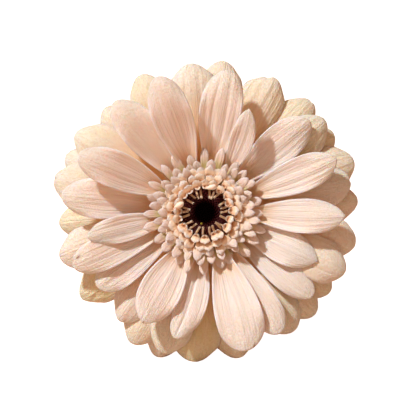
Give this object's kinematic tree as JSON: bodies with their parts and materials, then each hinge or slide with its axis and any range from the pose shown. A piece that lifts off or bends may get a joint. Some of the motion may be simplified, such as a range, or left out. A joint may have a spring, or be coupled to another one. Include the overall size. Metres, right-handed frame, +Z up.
{
  "type": "cut gerbera",
  "caption": "Cut gerbera flower lying on its side: long pale peach petals in front of cream ones, a ring of small florets, a dark eye and a bare green stalk.",
  "frame": {"origin": "middle of the footprint, on the surface that the flower lies on", "axes": "+Z up, -Y the way the face of the flower looks, +Y along the stalk to its cut end, +X to the right of the face"},
  "size_m": [0.1024, 0.2024, 0.0987],
  "materials": {
    "upper_peach": "soft satin petal, pale peach, finely veined lengthways, slightly translucent",
    "lower_cream": "soft satin petal, cream yellow, crinkled near the tip, slightly translucent",
    "trans_pink": "soft satin, pink peach with a pale yellow-green foot",
    "disc_cream": "waxy cream peach with paler lips",
    "bud_maroon": "dark maroon black, finely beaded",
    "bract_green": "matt green with fine pale hairs and reddish tips",
    "stalk_green": "satin green, ribbed lengthways, with fine pale hairs"
  },
  "bodies": {
    "root": {"scape": "stalk_green", "bracts_outer": "bract_green", "bracts_middle": "bract_green", "bracts_inner": "bract_green", "trans_florets_outer": "trans_pink", "trans_florets_middle": "trans_pink", "trans_florets_inner": "trans_pink", "disc_florets_outer": "disc_cream", "disc_florets_middle": "disc_cream", "disc_florets_inner": "disc_cream", "disc_buds": "bud_maroon", "upper_ray_01": "upper_peach", "upper_ray_02": "upper_peach", "upper_ray_03": "upper_peach", "upper_ray_04": "upper_peach", "upper_ray_05": "upper_peach", "upper_ray_06": "upper_peach", "upper_ray_07": "upper_peach", "upper_ray_08": "upper_peach", "upper_ray_09": "upper_peach", "upper_ray_10": "upper_peach", "upper_ray_11": "upper_peach", "upper_ray_12": "upper_peach", "upper_ray_13": "upper_peach", "upper_ray_14": "upper_peach", "upper_ray_15": "upper_peach", "upper_ray_16": "upper_peach", "upper_ray_17": "upper_peach", "upper_ray_18": "upper_peach", "lower_ray_01": "lower_cream", "lower_ray_02": "lower_cream", "lower_ray_03": "lower_cream", "lower_ray_04": "lower_cream", "lower_ray_05": "lower_cream", "lower_ray_06": "lower_cream", "lower_ray_07": "lower_cream", "lower_ray_08": "lower_cream", "lower_ray_09": "lower_cream", "lower_ray_10": "lower_cream", "lower_ray_11": "lower_cream", "lower_ray_12": "lower_cream", "lower_ray_13": "lower_cream", "lower_ray_14": "lower_cream", "lower_ray_15": "lower_cream", "lower_ray_16": "lower_cream", "lower_ray_17": "lower_cream", "lower_ray_18": "lower_cream", "lower_ray_19": "lower_cream", "lower_ray_20": "lower_cream", "lower_ray_21": "lower_cream", "lower_ray_22": "lower_cream", "lower_ray_23": "lower_cream", "lower_ray_24": "lower_cream", "lower_ray_25": "lower_cream", "lower_ray_26": "lower_cream", "lower_ray_27": "lower_cream", "lower_ray_28": "lower_cream"}
  },
  "joints": []
}
